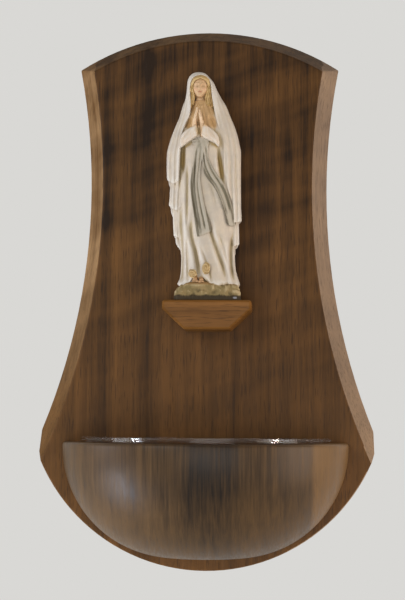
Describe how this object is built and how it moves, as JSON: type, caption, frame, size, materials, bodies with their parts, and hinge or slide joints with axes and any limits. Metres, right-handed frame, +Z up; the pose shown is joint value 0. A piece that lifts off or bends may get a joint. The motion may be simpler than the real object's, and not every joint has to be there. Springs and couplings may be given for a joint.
{
  "type": "holy water stoup",
  "caption": "Wall-hung walnut board with a half-round basin, a loose clear liner for the water, and a small shelf that carries a painted carved figure.",
  "frame": {"origin": "centre of the entry hole of the keyhole plate, on the wall plane", "axes": "+Z up, the stoup faces -Y, the wall plane is Y = 0, X is symmetrical for the board and the basin"},
  "size_m": [0.148, 0.0804, 0.24],
  "materials": {
    "walnut_board": "satin varnish, grain upright",
    "walnut_basin": "turned, satin varnish",
    "walnut_shelf": "satin varnish, grain across",
    "clear_liner": "clear, polished",
    "painted_carving": "carved wood, glazed with thin matt paint",
    "steel_pin": "drawn wire",
    "zinc_screws": "bright zinc",
    "zinc_plate": "pressed sheet, bright zinc"
  },
  "bodies": {
    "stoup": {"backboard": "walnut_board", "basin": "walnut_basin", "statue_shelf": "walnut_shelf", "statue": "painted_carving", "statue_pin": "steel_pin", "basin_screws": "zinc_screws", "shelf_screws": "zinc_screws", "hanger_plate": "zinc_plate", "hanger_screws": "zinc_screws"},
    "liner": {"basin_liner": "clear_liner"}
  },
  "joints": [
    {"name": "liner_lift", "type": "slide", "parent": "stoup", "child": "liner", "axis": [0, 0, 1], "range_m": [0, 0.04]}
  ]
}
